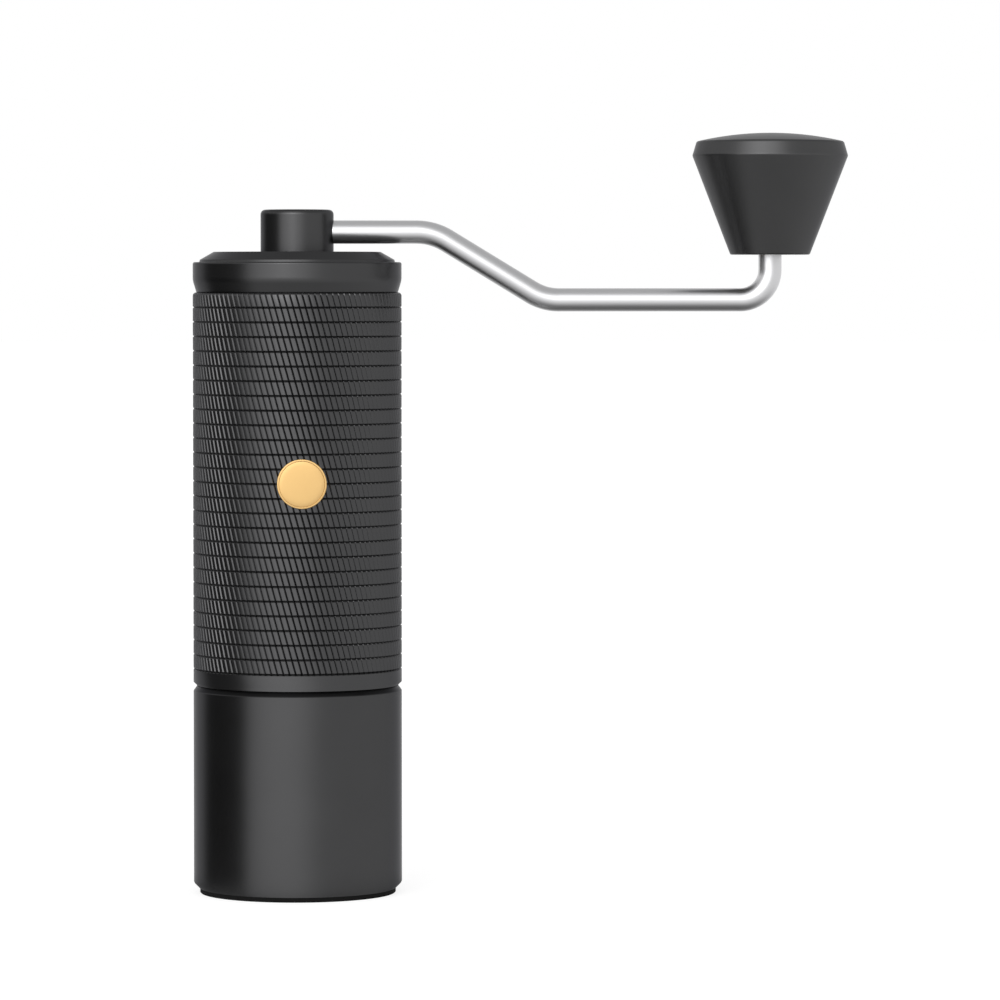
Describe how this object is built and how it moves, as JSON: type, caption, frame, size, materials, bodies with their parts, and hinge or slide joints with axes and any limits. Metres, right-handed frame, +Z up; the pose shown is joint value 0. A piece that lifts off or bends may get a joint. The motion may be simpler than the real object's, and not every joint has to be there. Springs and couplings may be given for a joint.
{
  "type": "hand coffee grinder",
  "caption": "Slim black hand coffee grinder: ring-grooved knurled sleeve, screw-on cup, lid, cranked steel arm with a flared knob, conical steel burrs inside.",
  "frame": {"origin": "centre of the foot's underside, on the drive shaft's axis", "axes": "+Z up along the shaft, +X towards the crank's knob at rest, -Y towards the badge"},
  "size_m": [0.1641, 0.052, 0.1898],
  "materials": {
    "black_metal": "satin black anodised and sprayed aluminium",
    "foot_rubber": "matt black silicone",
    "seal_rubber": "matt black silicone",
    "badge_gold": "satin gold disc",
    "dark_plastic": "fine matt black moulded plastic",
    "knob_black": "satin black, soft sheen",
    "bright_alloy": "turned and milled aluminium",
    "burr_steel": "hardened steel, milled, satin with bright edges",
    "shaft_steel": "ground steel",
    "arm_steel": "satin polished stainless rod",
    "bearing_steel": "bright ground bearing steel",
    "spring_steel": "drawn spring wire",
    "bush_bronze": "sintered bronze"
  },
  "bodies": {
    "cup": {"cup_shell": "black_metal", "cup_foot": "foot_rubber"},
    "seal": {"neck_seal": "seal_rubber"},
    "grinder_body": {"body_sleeve": "black_metal", "badge": "badge_gold", "hopper_liner": "dark_plastic", "upper_spider": "bright_alloy", "lower_spider": "bright_alloy", "burr_housing": "black_metal", "ring_burr": "burr_steel", "burr_lock_ring": "bright_alloy", "upper_bearing_outer": "bearing_steel", "upper_bearing_shields": "bearing_steel", "lower_bearing_outer": "bearing_steel", "lower_bearing_shields": "bearing_steel"},
    "lid": {"lid_shell": "black_metal", "lid_plug": "dark_plastic", "lid_seal": "seal_rubber"},
    "crank": {"crank_hub": "black_metal", "hub_washer": "bright_alloy", "hub_circlip": "spring_steel", "crank_arm": "arm_steel", "arm_pin": "shaft_steel", "knob_washer": "shaft_steel", "knob_screw": "shaft_steel"},
    "knob": {"knob_body": "knob_black", "knob_cap": "knob_black", "knob_bushes": "bush_bronze"},
    "shaft": {"drive_shaft": "shaft_steel", "shaft_circlips": "spring_steel", "spring_washer": "shaft_steel", "burr_spring": "spring_steel", "upper_bearing_inner": "bearing_steel", "lower_bearing_inner": "bearing_steel"},
    "upper_ball_set": {"upper_bearing_balls": "bearing_steel", "upper_bearing_cage": "bush_bronze"},
    "lower_ball_set": {"lower_bearing_balls": "bearing_steel", "lower_bearing_cage": "bush_bronze"},
    "burr": {"inner_burr": "burr_steel", "click_plate": "bright_alloy"},
    "dial": {"adjust_dial": "bright_alloy", "detent_balls": "bearing_steel", "detent_springs": "spring_steel"}
  },
  "joints": [
    {"name": "body_lift", "type": "slide", "parent": "cup", "child": "seal", "axis": [0, 0, 1], "range_m": [0, 0.06]},
    {"name": "body_unscrew", "type": "hinge", "parent": "seal", "child": "grinder_body", "pos_m": [0, 0, 0.052], "axis": [0, 0, 1], "range_deg": [0, 540]},
    {"name": "lid_lift", "type": "slide", "parent": "grinder_body", "child": "lid", "axis": [0, 0, 1], "range_m": [0, 0.04]},
    {"name": "crank_turn", "type": "hinge", "parent": "lid", "child": "crank", "pos_m": [0, 0, 0.15995], "axis": [0, 0, 1], "continuous": true},
    {"name": "knob_spin", "type": "hinge", "parent": "crank", "child": "knob", "pos_m": [0.1186, 0, 0.1593], "axis": [0, 0, 1], "continuous": true},
    {"name": "shaft_turn", "type": "hinge", "parent": "grinder_body", "child": "shaft", "pos_m": [0, 0, 0.0847], "axis": [0, 0, 1], "continuous": true},
    {"name": "upper_balls_turn", "type": "hinge", "parent": "grinder_body", "child": "upper_ball_set", "pos_m": [0, 0, 0.1357], "axis": [0, 0, 1], "continuous": true},
    {"name": "lower_balls_turn", "type": "hinge", "parent": "grinder_body", "child": "lower_ball_set", "pos_m": [0, 0, 0.0847], "axis": [0, 0, 1], "continuous": true},
    {"name": "burr_gap", "type": "slide", "parent": "shaft", "child": "burr", "axis": [0, 0, 1], "range_m": [-0.0015, 0.0003], "deforming": ["burr_spring"]},
    {"name": "dial_turn", "type": "hinge", "parent": "burr", "child": "dial", "pos_m": [0, 0, 0.0412], "axis": [0, 0, 1], "range_deg": [-540, 108]}
  ],
  "couplings": [
    {"joint": "shaft_turn", "follows": "crank_turn", "ratio": 1},
    {"joint": "upper_balls_turn", "follows": "crank_turn", "ratio": 0.41667},
    {"joint": "lower_balls_turn", "follows": "crank_turn", "ratio": 0.41667},
    {"joint": "dial_turn", "follows": "burr_gap", "rad_per_m": 6283.2}
  ]
}
